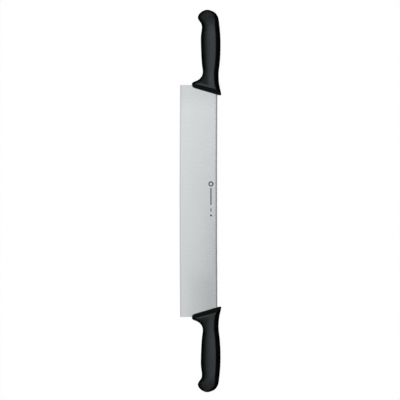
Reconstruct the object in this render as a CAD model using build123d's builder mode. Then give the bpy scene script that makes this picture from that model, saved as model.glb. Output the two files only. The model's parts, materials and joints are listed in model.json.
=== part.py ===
from build123d import *
import os
from math import radians, tan

# Two-handled cheese knife, lying flat on its side.
# X runs across the blade, cutting edge at -X and spine at +X.
# Y runs along the knife from one grip to the other. Z is up, square to the blade.
# The origin is under the middle of the knife, on the surface it lies on.
# All lengths are millimetres, all angles are degrees.

# ---- driving dimensions: blade ----
blade_length = 360.0        # square end to square end
edge_at_middle = -32.3      # X of the cutting edge halfway along
edge_at_end = -31.5         # X of the cutting edge at each end: the edge is slightly bowed out
spine_at_middle = 25.9      # X of the spine halfway along: the spine is slightly hollow
spine_at_end = 26.4         # X of the spine at each end
spine_thickness = 2.2
edge_thickness = 0.6        # where the taper grind stops and the sharpened bevel starts
sharpened_width = 2.0       # sharpened bevel on each side of the cutting edge
sharpened_depth = 0.26
spine_bevel_width = 2.5     # broken corner along each side of the spine
spine_bevel_depth = 0.35

# ---- driving dimensions: tangs ----
tang_length = 92.0          # past the end of the blade
tang_root = (7.0, 23.0)     # X of the tang's two sides where it leaves the blade
tang_tip = (10.0, 20.0)     # and at its far end
tang_root_radii = (4.0, 2.5)
tang_relief = 0.06          # the steel hidden in the grip is this much thinner on each side
tang_hole_diameter = 5.5
tang_hole_places = (28.0, 53.0, 78.0)   # distance of each keying hole past the blade's end

# ---- driving dimensions: grips ----
rest_height = 11.42         # blade's middle plane above the surface, half the guards' thickness
ridge_setback = 8.0         # thickest line of a grip, measured in from its spine side
guard_belly = -13.1         # X of the two ends of the guard
guard_spine = 32.3
guard_slant = 16.5          # lip of the guard against the X axis
lip_at_belly = -3.9         # distance of the lip past the blade's end, at the guard's belly end
guard_belly_radius = 5.0    # of the lip's rounded corner at the belly end
guard_spine_radius = 2.5    # and at the spine end
guard_tip_drop = 0.6        # past the spine the lip runs nearly straight across
guard_front_angle = 53.0    # front of the guard against the blade's side
guard_land = 2.2            # the front starts this far from the blade's middle plane
guard_rim_radius = 1.0
rim_reach = 3.0             # the rim's edges lie no further past the blade's end than this
gate_diameter = 3.0         # dimple left by the moulding gate, in the end of the butt
gate_depth = 0.5
skin = 2.8                  # thickness of the soft grip over its rigid core

# Stations of the grip from the butt to the guard. Each is a section through the grip:
# (belly point, spine point, half thickness, fullness of the belly side).
# A point is (X, distance past the blade's end). Fullness 0.55 is an ellipse, 1 a square corner.
stations = (
    ((7.4, 116.2), (14.4, 116.2), 4.4, 0.56),
    ((4.2, 115.0), (17.4, 115.1), 7.0, 0.56),
    ((1.0, 113.0), (21.4, 113.2), 9.0, 0.58),
    ((-2.4, 109.5), (25.3, 109.4), 10.1, 0.60),
    ((-4.1, 104.8), (27.8, 104.4), 10.6, 0.62),
    ((-2.4, 100.2), (28.8, 99.8), 10.5, 0.62),
    ((1.0, 95.4), (29.4, 95.0), 10.0, 0.64),
    ((2.2, 89.5), (30.0, 89.5), 9.6, 0.66),
    ((1.0, 79.0), (30.9, 79.0), 9.6, 0.66),
    ((0.7, 62.0), (31.4, 62.0), 10.0, 0.66),
    ((1.5, 42.0), (30.8, 42.0), 9.5, 0.66),
    ((2.8, 28.0), (29.5, 28.0), 8.8, 0.66),
    ((3.6, 20.5), (28.6, 20.0), 8.6, 0.66),
    ((2.7, 15.4), (28.4, 13.4), 8.9, 0.68),
    ((0.3, 11.2), (28.7, 6.8), 9.5, 0.70),
    ((-4.4, 7.3), (29.4, 0.6), 10.3, 0.74),
    ((-10.2, 4.9), (30.6, -5.6), 11.0, 0.80),
    ((-13.3, 0.8), (32.1, -12.0), 11.6, 0.86),
    ((-13.7, -5.0), (33.2, -18.8), 12.0, 0.88),
)
ridge_fullness = 0.3        # how long a section stays level past the ridge: the less, the crisper the ridge
spine_fullness = 0.55       # fullness of the spine side, at the spine itself
core_stations = stations[4:13]  # the core fills the grip from its butt to its neck

half_length = blade_length / 2
half_spine = spine_thickness / 2
reach = half_length + tang_length
clear = 40.0                # past everything a cutting sketch has to pass
middle = Plane.XY.offset(rest_height)


# ---- blade: one piece of steel with both tangs ----
def lip_distance(x):
    """Distance of the guard's lip past the blade's end, at X."""
    return lip_at_belly - (x - guard_belly) * tan(radians(guard_slant))


def taper_profile(relief):
    """Cross-section of the steel, thick at the spine and thin at the edge, less a relief."""
    spine_half = half_spine - relief
    edge_half = edge_thickness / 2 - relief
    with Locations((0, rest_height)):
        Polygon(
            (edge_at_middle, -edge_half),
            (spine_at_end, -spine_half),
            (spine_at_end, spine_half),
            (edge_at_middle, edge_half),
            align=None,
        )


def mirrored_about_middle(points):
    """The same points at the other end of the knife, in reverse order."""
    return [(x, -y) for x, y in reversed(points)]


with BuildPart() as hidden_relief:
    for end in (1, -1):
        lip_points = [
            (guard_belly - clear, end * (half_length + lip_distance(guard_belly - clear))),
            (guard_spine, end * (half_length + lip_distance(guard_spine))),
            (guard_spine, end * (reach + clear)),
            (guard_belly - clear, end * (reach + clear)),
        ]
        with BuildSketch(middle):
            Polygon(*lip_points, align=None)
        extrude(amount=clear / 2, both=True)
    with BuildSketch(Plane.XZ):
        taper_profile(tang_relief)
    extrude(amount=reach + clear, both=True, mode=Mode.SUBTRACT)

with BuildPart() as blade:
    with BuildSketch(Plane.XZ):
        taper_profile(0)
    extrude(amount=reach, both=True)

    end_points = [
        (edge_at_end, half_length),
        (tang_root[0], half_length),
        (tang_tip[0], reach),
        (tang_tip[1], reach),
        (tang_root[1], half_length),
        (spine_at_end, half_length),
    ]
    other_end_points = mirrored_about_middle(end_points)
    with BuildSketch(middle):
        with BuildLine():
            Polyline(*end_points)
            ThreePointArc(end_points[-1], (spine_at_middle, 0), other_end_points[0])
            Polyline(*other_end_points)
            ThreePointArc(other_end_points[-1], (edge_at_middle, 0), end_points[0])
        make_face()
    extrude(amount=spine_thickness, both=True, mode=Mode.INTERSECT)
    for root_x, radius in zip(tang_root, tang_root_radii):
        roots = edges().filter_by(Axis.Z).filter_by_position(Axis.X, root_x - 0.1, root_x + 0.1)
        fillet(roots, radius)

    # The spine's corners are broken and the edge is sharpened, on both sides.
    for side in (0, -1):
        for long_side, width, depth in (
            (-1, spine_bevel_width, spine_bevel_depth),
            (0, sharpened_width, sharpened_depth),
        ):
            flank = faces().sort_by(SortBy.AREA)[-2:].sort_by(Axis.Z)[side]
            long_edges = flank.edges().sort_by(Edge.length)[-2:].sort_by(Axis.X)
            chamfer(long_edges[long_side], width, depth, reference=flank)
    add(hidden_relief.part, mode=Mode.SUBTRACT)
    with BuildSketch(Plane.XY):
        for end in (1, -1):
            with Locations([(sum(tang_root) / 2, end * (half_length + place)) for place in tang_hole_places]):
                Circle(tang_hole_diameter / 2)
    extrude(amount=2 * rest_height, mode=Mode.SUBTRACT)


# ---- grips: two mirror images, each moulded over a rigid core ----
def egg_section(belly, spine, half_thickness, belly_fullness, inset=0):
    """One section of a grip: a closed egg, thickest at the ridge near its spine side."""
    belly_point = Vector(belly[0], half_length + belly[1], rest_height)
    across = Vector(spine[0] - belly[0], spine[1] - belly[1], 0)
    start = belly_point + across.normalized() * inset
    width = across.length - 2 * inset
    top = half_thickness - inset
    spine_side = min(ridge_setback, across.length / 2) - inset
    ridge = width - spine_side
    with BuildSketch(Plane(origin=start, x_dir=across, z_dir=across.rotate(Axis.Z, 90))) as section:
        with BuildLine():
            for side in (top, -top):
                level_past_ridge = ridge + ridge_fullness * spine_side
                Bezier((0, 0), (0, belly_fullness * side), (ridge * (1 - belly_fullness), side), (ridge, side))
                Bezier((ridge, side), (level_past_ridge, side), (width, spine_fullness * side), (width, 0))
        make_face()
    return section.sketch


with BuildPart() as left_core:
    loft([egg_section(*station, inset=skin) for station in core_stations])
    add(blade.part, mode=Mode.SUBTRACT)

lip_line = Vector(1, -tan(radians(guard_slant)), 0).normalized()
lip_corner = Vector(guard_belly, half_length + lip_at_belly, rest_height)
front_plane = Plane(origin=lip_corner, x_dir=lip_line.rotate(Axis.Z, 90), z_dir=lip_line)
front_run = (clear - guard_land) / tan(radians(guard_front_angle))

with BuildPart() as left_grip:
    loft([egg_section(*station) for station in stations])

    # The guard's front is a wedge that opens away from the blade on both sides.
    with BuildSketch(front_plane):
        Polygon(
            (0, guard_land),
            (front_run, clear),
            (-clear, clear),
            (-clear, -clear),
            (front_run, -clear),
            (0, -guard_land),
            align=None,
        )
    extrude(amount=clear * 2, both=True, mode=Mode.SUBTRACT)

    # In plan the guard ends in rounded corners, and runs nearly level past the spine.
    lip_end = half_length + lip_distance(spine_at_end)
    with BuildSketch(middle):
        outline = Polygon(
            (guard_belly, half_length + lip_at_belly),
            (spine_at_end, lip_end),
            (guard_spine, lip_end - guard_tip_drop),
            (guard_spine, reach + clear),
            (guard_belly, reach + clear),
            align=None,
        )
        guard_corners = outline.vertices().sort_by(Axis.Y)[:3].sort_by(Axis.X)
        fillet(guard_corners[0], guard_belly_radius)
        fillet(guard_corners[-1], guard_spine_radius)
    extrude(amount=clear, both=True, mode=Mode.INTERSECT)
    rims = edges().filter_by(lambda e: abs(e.center().Z - rest_height) > guard_land + 0.1)
    fillet(rims.filter_by(lambda e: e.center().Y < half_length + rim_reach), guard_rim_radius)

    # The moulding gate leaves a dimple in the flat end of the butt.
    butt_end = faces().sort_by(Axis.Y)[-1]
    with BuildSketch(Plane(butt_end)):
        Circle(gate_diameter / 2)
    extrude(amount=-gate_depth, mode=Mode.SUBTRACT)

    add(left_core.part, mode=Mode.SUBTRACT)
    add(blade.part, mode=Mode.SUBTRACT)

with BuildPart() as right_core:
    add(left_core.part)
    mirror(about=Plane.XZ, mode=Mode.REPLACE)

with BuildPart() as right_grip:
    add(left_grip.part)
    mirror(about=Plane.XZ, mode=Mode.REPLACE)

# ---- one file per piece ----
os.makedirs("parts", exist_ok=True)
pieces = {
    "blade": blade,
    "left_grip": left_grip,
    "right_grip": right_grip,
    "left_core": left_core,
    "right_core": right_core,
}
for name, piece in pieces.items():
    piece.part.label = name
    export_step(piece.part, f"parts/{name}.step")
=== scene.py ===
"""Looks of the two-handled cheese knife: refined grips, etched mark, materials, light and camera.

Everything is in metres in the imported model's frame: the knife lies flat, Y runs along it,
the cutting edge is at -X, the spine at +X and the mirror plane of the steel at MID_Z.
"""

import json
from math import atan2, cos, pi, radians, sin, tan

import bmesh
import bpy
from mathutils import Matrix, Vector
from mathutils.bvhtree import BVHTree


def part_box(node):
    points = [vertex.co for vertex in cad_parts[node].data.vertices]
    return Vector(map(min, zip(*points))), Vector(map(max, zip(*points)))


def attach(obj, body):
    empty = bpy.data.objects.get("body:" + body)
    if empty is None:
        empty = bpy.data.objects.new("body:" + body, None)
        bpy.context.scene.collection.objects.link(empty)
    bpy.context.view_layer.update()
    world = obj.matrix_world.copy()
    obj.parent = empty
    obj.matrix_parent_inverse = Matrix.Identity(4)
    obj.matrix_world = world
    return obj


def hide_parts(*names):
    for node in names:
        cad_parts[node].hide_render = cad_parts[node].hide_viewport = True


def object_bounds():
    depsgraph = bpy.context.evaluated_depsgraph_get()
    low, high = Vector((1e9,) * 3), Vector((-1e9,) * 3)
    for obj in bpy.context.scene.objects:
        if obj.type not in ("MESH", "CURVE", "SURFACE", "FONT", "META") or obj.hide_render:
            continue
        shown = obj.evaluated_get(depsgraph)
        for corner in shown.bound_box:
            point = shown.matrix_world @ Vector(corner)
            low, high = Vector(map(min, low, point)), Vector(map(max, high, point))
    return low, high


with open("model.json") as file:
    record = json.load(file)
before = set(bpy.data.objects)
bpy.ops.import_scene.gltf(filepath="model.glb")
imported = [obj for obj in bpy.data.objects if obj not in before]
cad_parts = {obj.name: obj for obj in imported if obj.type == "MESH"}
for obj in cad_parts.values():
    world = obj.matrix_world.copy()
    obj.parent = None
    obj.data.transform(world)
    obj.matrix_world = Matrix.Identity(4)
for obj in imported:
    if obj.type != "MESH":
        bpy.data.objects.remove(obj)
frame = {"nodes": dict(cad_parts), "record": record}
cad_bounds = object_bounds()

MM = 0.001
LOW, HIGH = cad_bounds
BLADE_LOW, BLADE_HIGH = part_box("blade")
GRIP_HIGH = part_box("left_grip")[1]
CORE_LOW, CORE_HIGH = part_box("left_core")
MID_Z = (BLADE_LOW.z + BLADE_HIGH.z) / 2
scene = bpy.context.scene


# ------------------------------------------------------------------ camera
FILLS_FRAME = 0.9544         # share of the frame's height that the knife takes
LENS, SENSOR = 135.0, 36.0   # a long lens, straight above the knife
KNIFE_OFFSET = Vector((0.6, -1.5, 0)) * MM   # the knife lies this far off the frame's centre


def make_camera():
    """Camera straight above, looking down, with +Y up in the frame."""
    data = bpy.data.cameras.new("camera")
    data.lens = LENS
    data.sensor_width = SENSOR
    data.clip_end = 50
    camera = bpy.data.objects.new("camera", data)
    frame_size = (HIGH[1] - LOW[1]) / FILLS_FRAME
    camera.location = Vector((0, 0, MID_Z + frame_size * LENS / SENSOR)) - KNIFE_OFFSET
    scene.collection.objects.link(camera)
    scene.camera = camera


make_camera()


# ------------------------------------------------------------------ grips
HALF_BLADE = 180 * MM        # from the middle of the knife to the blade's square end
GUARD_SLANT = radians(16.5)  # the guard's lip against X
STRAIGHT_FROM = 25 * MM      # past the blade's end by this much the sections are square to Y
LIP_DISTANCE = -12.2 * MM    # the guard's lip where it crosses the sections' centre line
CENTRE_X = 15 * MM           # the sections are centred on this line along the handle
SLOT_CLEAR = 0.9 * MM        # the silhouette is read this far above the slot for the steel
RAY_START = 80 * MM          # rays start this far outside the solid
BELLY_HUB, BELLY_HUB_SHARE = 5.0 * MM, 0.3   # the rays round an end fan out from a hub this far in,
SPINE_HUB, SPINE_HUB_SHARE = 6.0 * MM, 0.35  # or this share of a narrow section's width
SIDE_STEPS = 22              # points along each flat side of a section
FAN_STEPS = 14               # steps round each end of a section
END_INSET = 0.02 * MM        # the first section is this far inside the lip
GUARD_STEP, GUARD_SECTIONS = 0.5 * MM, 26    # sections over the guard's front
HANDLE_STEP = 1.3 * MM       # and along the handle
BUTT_FROM = 104 * MM         # from here they close up towards the butt's round end
BUTT_STEPS = 16
BUTT_INSET = 0.03 * MM       # the last section is this far inside the butt's flat end
GATE_RADIUS = 1.5 * MM
# Loops of the gate dimple, as a share of its radius and a depth. The doubled rim keeps it crisp.
GATE_LOOPS = ((1.0, 0), (1.0, 0), (1.0, 0.15 * MM), (0.93, 0.5 * MM), (0.5, 0.5 * MM))
SHARP_ANGLE = radians(38)    # edges that turn by more than this are shaded sharp
CORE_STEPS = 40              # sections along the hidden core
CORE_END = 0.6 * MM          # its ends are not quite square, so the sections stop this far inside them


def mesh_object(name, verts, faces):
    """A new object from points and faces, linked to the scene."""
    mesh = bpy.data.meshes.new(name)
    mesh.from_pydata([tuple(v) for v in verts], [], faces)
    mesh.validate()
    obj = bpy.data.objects.new(name, mesh)
    scene.collection.objects.link(obj)
    return obj


def tree_of(node):
    """Ray-casting tree of a CAD node."""
    mesh = frame["nodes"][node].data
    return BVHTree.FromPolygons([v.co for v in mesh.vertices], [p.vertices for p in mesh.polygons])


def section_frame(distance):
    """Centre line point, direction across and tilt of the section at this distance past the blade's end."""
    blend = min(max((STRAIGHT_FROM - distance) / (STRAIGHT_FROM - LIP_DISTANCE), 0), 1)
    tilt = GUARD_SLANT * blend * blend * (3 - 2 * blend)
    centre = Vector((CENTRE_X, HALF_BLADE + distance, MID_Z))
    return centre, Vector((cos(tilt), -sin(tilt), 0))


def section_ring(tree, distance):
    """Points of the outer surface round one section, read off the CAD solid with rays."""
    centre, across = section_frame(distance)
    up = Vector((0, 0, 1))

    def first_hit(start, direction):
        return tree.ray_cast(start, direction)[0]

    def extent(side):
        hits = []
        for level in (SLOT_CLEAR, -SLOT_CLEAR):
            start = centre + up * level + across * side * RAY_START
            hits.append((first_hit(start, across * -side) - centre).dot(across))
        return sum(hits) / 2

    belly, spine = extent(-1), extent(1)
    width = spine - belly
    belly_hub = belly + min(BELLY_HUB, width * BELLY_HUB_SHARE)
    spine_hub = spine - min(SPINE_HUB, width * SPINE_HUB_SHARE)
    ring = []

    def side_rays(start_x, end_x, direction):
        for step in range(1, SIDE_STEPS):
            x = start_x + (end_x - start_x) * step / SIDE_STEPS
            start = centre + across * x + up * direction * RAY_START
            ring.append(first_hit(start, up * -direction))

    def fan_rays(hub_x, start_angle, tip_x):
        hub = centre + across * hub_x
        for step in range(FAN_STEPS + 1):
            angle = start_angle - pi * step / FAN_STEPS
            outward = across * cos(angle) + up * sin(angle)
            if step == FAN_STEPS // 2:
                ring.append(centre + across * tip_x)
                continue
            start = hub + outward * RAY_START
            point = first_hit(start, -outward)
            if abs(point.z - MID_Z) < SLOT_CLEAR:
                level = SLOT_CLEAR if point.z > MID_Z else -SLOT_CLEAR
                point = centre + across * tip_x + up * level * abs(point.z - MID_Z) / SLOT_CLEAR
            ring.append(point)

    side_rays(belly_hub, spine_hub, 1)
    fan_rays(spine_hub, pi / 2, spine)
    side_rays(spine_hub, belly_hub, -1)
    fan_rays(belly_hub, -pi / 2, belly)
    return ring


def grip_distances():
    """Where the sections are: close together at the guard's front and at the butt's round end."""
    first = LIP_DISTANCE + END_INSET
    distances = [first + GUARD_STEP * step for step in range(GUARD_SECTIONS)]
    while distances[-1] < BUTT_FROM:
        distances.append(distances[-1] + HANDLE_STEP)
    last = distances[-1]
    end = GRIP_HIGH.y - HALF_BLADE
    distances += [last + (end - last) * sin(pi / 2 * step / BUTT_STEPS) for step in range(1, BUTT_STEPS)]
    distances.append(end - BUTT_INSET)
    return distances


def bridge(verts, faces, ring):
    """Joins a new ring of points to the last one with quads."""
    count = len(ring)
    start = len(verts)
    verts.extend(ring)
    if start >= count:
        for i in range(count):
            j = (i + 1) % count
            faces.append((start - count + i, start - count + j, start + j, start + i))


def cap_with_gate(verts, faces, ring):
    """Closes the butt: the flat end steps in to the round dimple left by the moulding gate."""
    centre = sum(ring, Vector()) / len(ring)
    spokes = [(point - centre).normalized() for point in ring]
    for share, depth in GATE_LOOPS:
        sunk_centre = centre - Vector((0, depth, 0))
        bridge(verts, faces, [sunk_centre + spoke * GATE_RADIUS * share for spoke in spokes])
    faces.append(tuple(range(len(verts) - len(ring), len(verts))))


def closed_tube(name, rings, gate):
    """A closed quad mesh through the rings, first ring to last."""
    verts, faces = [], []
    for ring in rings:
        bridge(verts, faces, ring)
    faces.append(tuple(reversed(range(len(rings[0])))))
    if gate:
        cap_with_gate(verts, faces, rings[-1])
    else:
        faces.append(tuple(range(len(verts) - len(rings[-1]), len(verts))))
    obj = mesh_object(name, verts, faces)
    bm = bmesh.new()
    bm.from_mesh(obj.data)
    bmesh.ops.recalc_face_normals(bm, faces=bm.faces)
    bm.to_mesh(obj.data)
    bm.free()
    return obj


def apply_modifiers(obj):
    """Bakes an object's modifiers into its mesh."""
    depsgraph = bpy.context.evaluated_depsgraph_get()
    mesh = bpy.data.meshes.new_from_object(obj.evaluated_get(depsgraph))
    obj.modifiers.clear()
    obj.data = mesh


def cut(obj, tool):
    """Takes another closed mesh out of this one."""
    modifier = obj.modifiers.new("cut", "BOOLEAN")
    modifier.operation = "DIFFERENCE"
    modifier.solver = "EXACT"
    modifier.object = tool
    apply_modifiers(obj)


def core_rings():
    """Rings of points round the hidden core, with its two flat ends stretched to its full length."""
    tree = tree_of("left_core")
    start = CORE_LOW.y - HALF_BLADE + CORE_END
    end = CORE_HIGH.y - HALF_BLADE - CORE_END
    pitch = (end - start) / CORE_STEPS
    rings = [section_ring(tree, start + pitch * step) for step in range(CORE_STEPS + 1)]
    for index, side in ((0, -1), (-1, 1)):
        for point in rings[index]:
            point.y += side * CORE_END
    return rings


def mirrored_copy(obj, name):
    """The same mesh at the other end of the knife, with its faces turned back outwards."""
    mesh = obj.data.copy()
    for vertex in mesh.vertices:
        vertex.co.y = -vertex.co.y
    mesh.flip_normals()
    copy = bpy.data.objects.new(name, mesh)
    scene.collection.objects.link(copy)
    return copy


def make_handles():
    """Both moulded handles, as fine quad meshes read off the left grip's CAD solid."""
    tree = tree_of("left_grip")
    rings = [section_ring(tree, distance) for distance in grip_distances()]
    left = closed_tube("left_handle", rings, gate=True)
    smooth = left.modifiers.new("smooth", "SUBSURF")
    smooth.levels = smooth.render_levels = 1
    apply_modifiers(left)
    hollow = closed_tube("hollow", core_rings(), gate=False)
    cut(left, hollow)
    cut(left, frame["nodes"]["blade"])
    bpy.data.objects.remove(hollow)
    left.data.polygons.foreach_set("use_smooth", [True] * len(left.data.polygons))
    left.data.set_sharp_from_angle(angle=SHARP_ANGLE)
    right = mirrored_copy(left, "right_handle")
    for handle, node in ((left, "left_grip"), (right, "right_grip")):
        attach(handle, "root")
        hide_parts(node)
    return left, right


# ------------------------------------------------------------------ etched mark
MARK_X = 16.4 * MM           # centre line of the mark, across the blade
MARK_PROUD = 0.02 * MM       # it stands this little off the steel
ROUND_STEPS = 20             # steps round each end of a bar
# Each piece in millimetres: its name, its centre along Y, its length and its width.
MARK_PIECES = (
    ("etched_ring", 26.5, 8.0, 8.0),
    ("etched_long_bar", 7.0, 27.0, 1.7),
    ("etched_short_bar", -14.0, 6.0, 1.4),
    ("etched_dot", -22.4, 3.0, 3.0),
)
RING_BORE = 4.4 * MM


def flank_point(x, y, proud):
    """Point of the blade's upper flank at X and Y, lifted off it by a hair."""
    mount = next(m for m in frame["record"]["mounts"] if m["name"] == "blade_upper_flat")
    base, normal = Vector(mount["pos_m"]), Vector(mount["axis"])
    z = base.z - (normal.x * (x - base.x) + normal.y * (y - base.y)) / normal.z
    return Vector((x, y, z)) + normal * proud


def rounded_bar(length, width):
    """Outline of a bar with round ends that lies along Y, about its own centre."""
    points = []
    for end in (1, -1):
        for step in range(ROUND_STEPS + 1):
            angle = pi * step / ROUND_STEPS + (0 if end > 0 else pi)
            points.append((width / 2 * cos(angle), end * (length - width) / 2 + width / 2 * sin(angle)))
    return points


def etched_piece(name, centre_y, outer, inner=None):
    """A very thin flat piece on the flank: an outline, or the band between two outlines."""
    verts, faces = [], []
    count = len(outer)
    for proud in (0, MARK_PROUD):
        for outline in (outer, inner):
            if outline:
                verts += [flank_point(MARK_X + x, centre_y + y, proud) for x, y in outline]
    if inner:
        for i in range(count):
            j = (i + 1) % count
            faces.append((2 * count + i, 2 * count + j, 3 * count + j, 3 * count + i))
            faces.append((j, i, count + i, count + j))
            faces.append((i, j, 2 * count + j, 2 * count + i))
            faces.append((count + j, count + i, 3 * count + i, 3 * count + j))
    else:
        faces.append(tuple(range(count, 2 * count)))
        faces.append(tuple(reversed(range(count))))
        for i in range(count):
            j = (i + 1) % count
            faces.append((i, j, count + j, count + i))
    return mesh_object(name, verts, faces)


def make_mark():
    """A plain ring, two bars and a dot, laser-etched on the blade."""
    pieces = []
    for name, centre_y, length, width in MARK_PIECES:
        inner = rounded_bar(RING_BORE, RING_BORE) if name == "etched_ring" else None
        piece = etched_piece(name, centre_y * MM, rounded_bar(length * MM, width * MM), inner)
        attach(piece, "root")
        pieces.append(piece)
    return pieces


# ------------------------------------------------------------------ materials
# Places in the materials are in millimetres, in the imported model's frame.
EDGE_BEVEL_X = (-30.4, -30.0)      # the sharpened bevel ends between these
SPINE_BEVEL_X = (23.2, 23.6)       # and the spine's broken corner starts between these
# painted highlight: the bevels' colour is made this much brighter
PAINTED_BEVEL_HIGHLIGHT = 0.08
PAINTED_SHADE_ACROSS_X = (-32.0, 26.0)      # painted shade: the steel is painted darker towards the spine,
PAINTED_SHADE_ALONG_Y = (180.0, -180.0)     # most at the -Y end
PAINTED_SHADE_DEPTH = 0.17
PAINTED_TOP_END_Y = (140.0, 172.0)         # and painted darker again close to the +Y guard: painted shade for the guard's dark reflection
PAINTED_TOP_END_SHADE = 0.10
PAINTED_LOW_END_Y = (-98.0, -136.0)        # and painted darker in the middle of its width towards the -Y guard: the same painted shade
PAINTED_LOW_END_SHADE = 0.07
MID_WIDTH_X = (-28.0, -8.0, 12.0, 24.0)
CROWN_FROM_X, CROWN_TO_X = -14.0, 23.0   # past CROWN_FROM_X the flank drops off by the square of X
CROWN_DROP = -0.0010
STEEL = (0.637, 0.642, 0.642)
LINE_BUMP = 0.0012 * MM
GUARD_LAND = 2.2                   # the guard's front starts this far from the middle plane
GUARD_FRONT_ANGLE = radians(53.0)  # against the blade's side
GUARD_LIP_Y = 172.2                # the lip's distance from the middle where it crosses X = 0
FRONT_SMOOTHNESS = 0.6             # the guard's front is less rough by this share
BUTT_STUDS_Y = (262.0, 285.0)      # the studs fade in over this stretch of the butt
NECK_STUDS = (8.5, 11.0, 26.0, 38.0)   # and in and out over these distances past the lip,
BELLY_STUDS_X = (8.0, 18.0)        # on the belly side
STUD_PITCH = 3.4                   # the studs stand in a diagonal pattern that repeats at this pitch
PEBBLE_BUMP = 0.05 * MM
STUD_BUMP = 0.30 * MM
PARTING_BUMP = 0.12 * MM           # line left where the two mould halves met


class Graph:
    """Short way to write one material's nodes."""

    def __init__(self, name):
        self.material = bpy.data.materials.new(name)
        self.material.use_nodes = True
        self.tree = self.material.node_tree
        self.shader = self.tree.nodes["Principled BSDF"]

    def node(self, kind, inputs=None, **settings):
        node = self.tree.nodes.new(kind)
        for key, value in settings.items():
            setattr(node, key, value)
        for key, value in (inputs or {}).items():
            if isinstance(value, bpy.types.NodeSocket):
                self.tree.links.new(value, node.inputs[key])
            else:
                node.inputs[key].default_value = value
        return node

    def math(self, operation, *values, clamp=False):
        settings = {"operation": operation, "use_clamp": clamp}
        return self.node("ShaderNodeMath", dict(enumerate(values)), **settings).outputs[0]

    def millimetres(self):
        """Object coordinates in millimetres."""
        coords = self.node("ShaderNodeTexCoord").outputs["Object"]
        return self.stretched(coords, 1 / MM, 1 / MM, 1 / MM)

    def stretched(self, vector, x, y, z):
        """Coordinates scaled by a different amount along each axis."""
        return self.node("ShaderNodeVectorMath", {0: vector, 1: (x, y, z)}, operation="MULTIPLY").outputs[0]

    def noise(self, vector, scale, detail=3.0, roughness=0.5):
        inputs = {"Vector": vector, "Scale": scale, "Detail": detail, "Roughness": roughness}
        return self.node("ShaderNodeTexNoise", inputs).outputs["Fac"]

    def between(self, value, low, high, to_low, to_high):
        """Smooth step from to_low at low to to_high at high."""
        inputs = {0: value, 1: low, 2: high, 3: to_low, 4: to_high}
        return self.node("ShaderNodeMapRange", inputs, interpolation_type="SMOOTHSTEP").outputs[0]

    def mix(self, share, first, second):
        inputs = {"Factor": share, "A": first, "B": second}
        node = self.tree.nodes.new("ShaderNodeMix")
        node.data_type = "RGBA"
        for socket in node.inputs:
            if socket.enabled and socket.name in inputs:
                value = inputs[socket.name]
                if isinstance(value, bpy.types.NodeSocket):
                    self.tree.links.new(value, socket)
                else:
                    socket.default_value = value
        return next(o for o in node.outputs if o.enabled)

    def bump(self, height, distance, strength=1.0, normal=None):
        inputs = {"Height": height, "Distance": distance, "Strength": strength}
        if normal is not None:
            inputs["Normal"] = normal
        return self.node("ShaderNodeBump", inputs).outputs[0]

    def drive(self, **sockets):
        """Links or sets the shader's own sockets."""
        for name, value in sockets.items():
            socket = self.shader.inputs[name.replace("_", " ")]
            if isinstance(value, bpy.types.NodeSocket):
                self.tree.links.new(value, socket)
            else:
                socket.default_value = value
        return self.material


def steel_tone_with_painted_light(g, axes):
    """How bright the steel is from place to place, about 1: a random tone with painted shade and painted
    highlights on the bevels.
    """
    cloud = g.noise(g.stretched(g.millimetres(), 0.03, 0.012, 1.0), 1.0, detail=2.0)
    across = g.between(axes["X"], *PAINTED_SHADE_ACROSS_X, 0.0, 1.0)
    along = g.between(axes["Y"], *PAINTED_SHADE_ALONG_Y, 0.3, 1.0)
    # Painted shade: the colour is made darker towards the spine, most at the -Y end.
    painted_fall_shade = g.math("MULTIPLY", g.math("MULTIPLY", across, along), PAINTED_SHADE_DEPTH)
    tone_with_painted_light = g.math("SUBTRACT", g.math("ADD", 0.97, g.math("MULTIPLY", cloud, 0.06)), painted_fall_shade)
    # Painted shade close to both guards, standing in for the guard's dark reflection in the steel.
    painted_top_end_shade = g.between(axes["Y"], *PAINTED_TOP_END_Y, 0.0, PAINTED_TOP_END_SHADE)
    off_edge = g.between(axes["X"], *MID_WIDTH_X[:2], 0.0, 1.0)
    off_spine = g.between(axes["X"], *MID_WIDTH_X[2:], 1.0, 0.0)
    painted_low_end_shade = g.between(axes["Y"], *PAINTED_LOW_END_Y, 0.0, PAINTED_LOW_END_SHADE)
    painted_low_end_shade = g.math("MULTIPLY", g.math("MULTIPLY", off_edge, off_spine), painted_low_end_shade)
    tone_with_painted_light = g.math("SUBTRACT", tone_with_painted_light, g.math("ADD", painted_top_end_shade, painted_low_end_shade))
    # Painted highlight: the two bevels are painted brighter.
    painted_edge_highlight = g.between(axes["X"], *EDGE_BEVEL_X, 1.0, 0.0)
    painted_spine_highlight = g.between(axes["X"], *SPINE_BEVEL_X, 0.0, 1.0)
    tone_with_painted_light = g.math("ADD", tone_with_painted_light, g.math("MULTIPLY", g.math("ADD", painted_edge_highlight, painted_spine_highlight), PAINTED_BEVEL_HIGHLIGHT))
    return tone_with_painted_light, along


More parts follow.
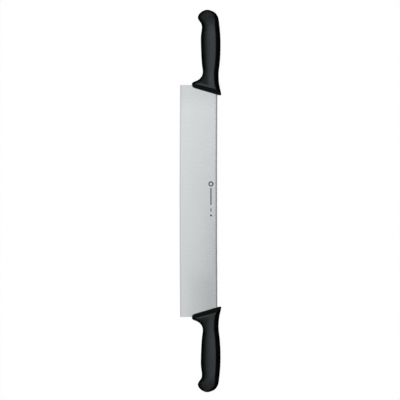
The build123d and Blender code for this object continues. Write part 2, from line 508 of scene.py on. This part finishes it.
def steel_material():
    """Satin blade steel, ground across the blade, with painted shade and bevels painted brighter as a
    painted highlight.
    """
    g = Graph("satin_steel")
    place = g.millimetres()
    axes = g.node("ShaderNodeSeparateXYZ", {0: place}).outputs
    fine = g.noise(g.stretched(place, 0.035, 7.0, 1.0), 1.0, detail=4.0)
    coarse = g.noise(g.stretched(place, 0.010, 0.9, 1.0), 1.0, detail=2.0)
    lines = g.math("ADD", g.math("MULTIPLY", fine, 0.85), g.math("MULTIPLY", coarse, 0.15))
    # Tone of the steel with its painted shade and painted bevel highlights.
    tone_with_painted_light, along = steel_tone_with_painted_light(g, axes)
    tone = g.math("MULTIPLY", tone_with_painted_light, g.between(lines, 0.3, 0.7, 0.99, 1.01))
    channels = {index: g.math("MULTIPLY", tone, channel) for index, channel in enumerate(STEEL)}
    colour = g.node("ShaderNodeCombineColor", channels).outputs[0]
    rough = g.math("ADD", 0.24, g.math("MULTIPLY", lines, 0.06))
    past_crown = g.math("SUBTRACT", g.math("MINIMUM", axes["X"], CROWN_TO_X), CROWN_FROM_X)
    past_crown = g.math("MAXIMUM", past_crown, 0.0)
    crown = g.math("MULTIPLY", g.math("MULTIPLY", past_crown, past_crown), along)
    crown = g.math("MULTIPLY", crown, CROWN_DROP)
    normal = g.bump(lines, LINE_BUMP, normal=g.bump(crown, 1.0 * MM))
    return g.drive(Base_Color=colour, Metallic=1.0, Roughness=rough, Normal=normal)


def stud_height(g, axes, from_middle, past_lip):
    """Height of the gripping studs, on the butt and on the belly side of the neck."""
    butt = g.between(from_middle, *BUTT_STUDS_Y, 0.0, 1.0)
    fade_in = g.between(past_lip, *NECK_STUDS[:2], 0.0, 1.0)
    fade_out = g.between(past_lip, *NECK_STUDS[2:], 1.0, 0.0)
    belly = g.between(axes["X"], *BELLY_STUDS_X, 1.0, 0.0)
    neck = g.math("MULTIPLY", g.math("MULTIPLY", fade_in, fade_out), belly)
    gripped = g.math("ADD", butt, neck, clamp=True)
    across = g.math("SINE", g.math("MULTIPLY", axes["X"], 2 * pi / STUD_PITCH))
    along = g.math("SINE", g.math("MULTIPLY", axes["Y"], 2 * pi / STUD_PITCH))
    return g.math("MULTIPLY", g.math("MULTIPLY", across, along), gripped)


def skin_material():
    """Soft black handle skin: fine pebble grain, studs, a parting line and a smoother guard front."""
    g = Graph("handle_skin")
    place = g.millimetres()
    axes = g.node("ShaderNodeSeparateXYZ", {0: place}).outputs
    from_middle = g.math("ABSOLUTE", axes["Y"])
    lip = g.math("MULTIPLY_ADD", axes["X"], -tan(GUARD_SLANT), GUARD_LIP_Y)
    past_lip = g.math("SUBTRACT", from_middle, lip)
    off_parting = g.math("ABSOLUTE", g.math("SUBTRACT", axes["Z"], MID_Z / MM))

    pebble = g.node("ShaderNodeTexVoronoi", {"Vector": place, "Scale": 1.9}, feature="SMOOTH_F1")
    grain = g.noise(place, 4.0, detail=2.0)
    cloud = g.noise(place, 0.05, detail=3.0)
    mottled = g.between(cloud, 0.35, 0.65, 0.0, 1.0)
    colour = g.mix(mottled, (0.0014, 0.0020, 0.0022, 1), (0.0024, 0.0032, 0.0034, 1))
    rough = g.math("ADD", g.between(cloud, 0.3, 0.7, 0.30, 0.35), g.math("MULTIPLY", grain, 0.06))
    front_depth = g.math("SUBTRACT", off_parting, GUARD_LAND)
    front_depth = g.math("MULTIPLY", front_depth, 1.0 / tan(GUARD_FRONT_ANGLE))
    front = g.between(g.math("SUBTRACT", past_lip, front_depth), 0.3, 1.0, 1.0, 0.0)
    rough = g.math("MULTIPLY", rough, g.math("MULTIPLY_ADD", front, -FRONT_SMOOTHNESS, 1.0))

    height = g.math("MULTIPLY", pebble.outputs["Distance"], 0.6)
    height = g.math("ADD", height, g.math("MULTIPLY", grain, 0.25))
    normal = g.bump(height, PEBBLE_BUMP)
    normal = g.bump(stud_height(g, axes, from_middle, past_lip), STUD_BUMP, normal=normal)
    parting = g.between(off_parting, 0.08, 0.30, 1.0, 0.0)
    normal = g.bump(parting, PARTING_BUMP, normal=normal)
    return g.drive(
        Base_Color=colour,
        Roughness=rough,
        IOR=1.6,
        Specular_Tint=(0.92, 1.0, 1.03, 1),
        Normal=normal,
    )


def core_material():
    """Plain moulded plastic of the hidden core."""
    g = Graph("core_plastic")
    place = g.millimetres()
    flow = g.noise(g.stretched(place, 0.1, 0.02, 0.1), 1.0, detail=3.0)
    streaks = g.between(flow, 0.3, 0.7, 0.0, 1.0)
    colour = g.mix(streaks, (0.020, 0.020, 0.022, 1), (0.034, 0.034, 0.036, 1))
    rough = g.math("ADD", 0.42, g.math("MULTIPLY", flow, 0.15))
    normal = g.bump(g.noise(place, 2.5), 0.03 * MM)
    return g.drive(Base_Color=colour, Roughness=rough, Normal=normal)


def etch_material():
    """Dark oxide left by laser etching."""
    g = Graph("etched_oxide")
    place = g.millimetres()
    speckle = g.noise(place, 6.0, detail=2.0)
    spots = g.between(speckle, 0.35, 0.65, 0.0, 1.0)
    colour = g.mix(spots, (0.055, 0.058, 0.062, 1), (0.11, 0.115, 0.12, 1))
    rough = g.math("ADD", 0.55, g.math("MULTIPLY", speckle, 0.2))
    return g.drive(Base_Color=colour, Metallic=0.4, Roughness=rough, Normal=g.bump(speckle, 0.01 * MM))


def assign(obj, material):
    """Puts one material in an object's only slot."""
    obj.data.materials.clear()
    obj.data.materials.append(material)


# ------------------------------------------------------------------ stage
FLOOR_SIZE = 12.0
FLOOR_DROP = 0.1 * MM        # the floor is this far under the knife
FLOOR_GLOW = 0.975           # it shines nearly white, so the knife's shadow on it stays faint
FLOOR_TONE = (0.06, 0.06, 0.06, 1)    # its own colour as the camera sees it
HIDDEN_TONE = (0.02, 0.02, 0.02, 1)   # and as the knife reflects it
SOFTBOX_HEIGHT = 3.0
SOFTBOX_SIZE = 6.0
SOFTBOX_CENTRE_X = -2.3      # it hangs over the cutting edge side
SOFTBOX_COLOUR = (0.965, 1.0, 1.01)
LIGHT_LEVEL = 1.22           # brightness of the softbox straight above the knife
FADE_ACROSS = (-2.8, 0.1, 0.06, 1.0)      # it fades from one X to another, between these two shares,
FADE_ALONG = (-1.6, 1.6, 0.72, 1.165)     # and from one Y to another
SIDE_LIGHT_LENGTH = 10.0
SIDE_LIGHT_LEVEL = 0.5
SIDE_LIGHT_TOP_X = 1.8       # a side light slants from here, at the softbox's height,
SIDE_LIGHT_FOOT = Vector((4.0, 0, 0.1))   # down to here
PAST_ENDS = (0.22, 0.5, 0.0, 0.5)         # share of light by the square of a direction's Y,
RAISED = (0.28, 0.6, 0.0, 1.0)            # times a share by its Z
DIMMEST = 0.01


def graph_node(tree, kind, inputs=None, **settings):
    """Adds a node; an input that is a socket is linked, anything else is set."""
    node = tree.nodes.new(kind)
    for key, value in settings.items():
        setattr(node, key, value)
    for key, value in (inputs or {}).items():
        if isinstance(value, bpy.types.NodeSocket):
            tree.links.new(value, node.inputs[key])
        else:
            node.inputs[key].default_value = value
    return node


def graph_range(tree, value, limits, interpolation):
    """Maps a value from one range to another: limits are from, to, and the result at each."""
    inputs = {0: value, 1: limits[0], 2: limits[1], 3: limits[2], 4: limits[3]}
    return graph_node(tree, "ShaderNodeMapRange", inputs, interpolation_type=interpolation).outputs[0]


def make_floor():
    """A plain white floor, dark in the knife's reflections and clear from below."""
    bm = bmesh.new()
    bmesh.ops.create_grid(bm, x_segments=1, y_segments=1, size=FLOOR_SIZE / 2)
    mesh = bpy.data.meshes.new("floor")
    bm.to_mesh(mesh)
    bm.free()
    floor = bpy.data.objects.new("floor", mesh)
    floor.location = (0, 0, LOW[2] - FLOOR_DROP)
    scene.collection.objects.link(floor)

    material = bpy.data.materials.new("white_floor")
    material.use_nodes = True
    tree = material.node_tree
    tree.nodes.clear()
    pale = graph_node(tree, "ShaderNodeBsdfDiffuse", {"Color": FLOOR_TONE}).outputs[0]
    glow = graph_node(tree, "ShaderNodeEmission", {"Strength": FLOOR_GLOW}).outputs[0]
    both = graph_node(tree, "ShaderNodeAddShader", {0: pale, 1: glow}).outputs[0]
    dark = graph_node(tree, "ShaderNodeBsdfDiffuse", {"Color": HIDDEN_TONE}).outputs[0]
    seen = graph_node(tree, "ShaderNodeLightPath").outputs["Is Camera Ray"]
    choice = graph_node(tree, "ShaderNodeMixShader", {0: seen, 1: dark, 2: both}).outputs[0]
    from_below = graph_node(tree, "ShaderNodeNewGeometry").outputs["Backfacing"]
    clear = graph_node(tree, "ShaderNodeBsdfTransparent").outputs[0]
    choice = graph_node(tree, "ShaderNodeMixShader", {0: from_below, 1: choice, 2: clear}).outputs[0]
    graph_node(tree, "ShaderNodeOutputMaterial", {0: choice})
    assign(floor, material)


def make_softbox():
    """One large overhead softbox over the cutting edge side, fading away from the knife."""
    data = bpy.data.lights.new("softbox", "AREA")
    data.shape = "SQUARE"
    data.size = SOFTBOX_SIZE
    data.energy = LIGHT_LEVEL * pi * SOFTBOX_SIZE ** 2
    data.color = SOFTBOX_COLOUR
    data.use_nodes = True
    tree = data.node_tree
    place = graph_node(tree, "ShaderNodeNewGeometry").outputs["Position"]
    axes = graph_node(tree, "ShaderNodeSeparateXYZ", {0: place}).outputs

    across = graph_range(tree, axes[0], FADE_ACROSS, "SMOOTHSTEP")
    along = graph_range(tree, axes[1], FADE_ALONG, "SMOOTHSTEP")
    level = graph_node(tree, "ShaderNodeMath", {0: across, 1: along}, operation="MULTIPLY").outputs[0]
    tree.links.new(level, tree.nodes["Emission"].inputs["Strength"])
    lamp = bpy.data.objects.new("softbox", data)
    lamp.location = (SOFTBOX_CENTRE_X, 0, SOFTBOX_HEIGHT)
    lamp.visible_camera = False
    scene.collection.objects.link(lamp)


def make_side_light(side, receivers):
    """A slanted softbox beside the knife that lights only the steel, and leaves the handles' rims dark."""
    top = Vector((side * SIDE_LIGHT_TOP_X, 0, SOFTBOX_HEIGHT))
    foot = Vector((side * SIDE_LIGHT_FOOT.x, 0, SIDE_LIGHT_FOOT.z))
    height = (top - foot).length
    data = bpy.data.lights.new("side_light", "AREA")
    data.shape = "RECTANGLE"
    data.size, data.size_y = height, SIDE_LIGHT_LENGTH
    data.energy = SIDE_LIGHT_LEVEL * pi * height * SIDE_LIGHT_LENGTH
    lamp = bpy.data.objects.new("side_light", data)
    lamp.location = (top + foot) / 2
    lamp.rotation_euler = (0, side * atan2(top.z - foot.z, abs(foot.x - top.x)), 0)
    lamp.visible_camera = False
    lamp.light_linking.receiver_collection = receivers
    scene.collection.objects.link(lamp)


def make_world():
    """Surroundings: dark across the knife, paler past its two ends, and white for the camera."""
    world = bpy.data.worlds.new("studio")
    world.use_nodes = True
    tree = world.node_tree
    tree.nodes.clear()
    direction = graph_node(tree, "ShaderNodeTexCoord").outputs["Generated"]
    axes = graph_node(tree, "ShaderNodeSeparateXYZ", {0: direction}).outputs
    squared = graph_node(tree, "ShaderNodeMath", {0: axes[1], 1: axes[1]}, operation="MULTIPLY").outputs[0]
    past_ends = graph_range(tree, squared, PAST_ENDS, "LINEAR")
    raised = graph_range(tree, axes[2], RAISED, "LINEAR")
    shares = {0: past_ends, 1: raised, 2: DIMMEST}
    level = graph_node(tree, "ShaderNodeMath", shares, operation="MULTIPLY_ADD").outputs[0]
    dim = graph_node(tree, "ShaderNodeBackground", {"Strength": level}).outputs[0]
    white = graph_node(tree, "ShaderNodeBackground", {"Color": (1, 1, 1, 1)}).outputs[0]
    seen = graph_node(tree, "ShaderNodeLightPath").outputs["Is Camera Ray"]
    choice = graph_node(tree, "ShaderNodeMixShader", {0: seen, 1: dim, 2: white}).outputs[0]
    graph_node(tree, "ShaderNodeOutputWorld", {0: choice})
    scene.world = world


# ------------------------------------------------------------------ build
skin = skin_material()
for handle in make_handles():
    assign(handle, skin)
etch = etch_material()
steel_things = bpy.data.collections.new("steel_things")
steel_things.objects.link(frame["nodes"]["blade"])
for piece in make_mark():
    assign(piece, etch)
    steel_things.objects.link(piece)
assign(frame["nodes"]["blade"], steel_material())
core = core_material()
for node in ("left_core", "right_core"):
    assign(frame["nodes"][node], core)
make_floor()
make_softbox()
for side in (-1, 1):
    make_side_light(side, steel_things)
make_world()
scene.view_settings.view_transform = "Standard"
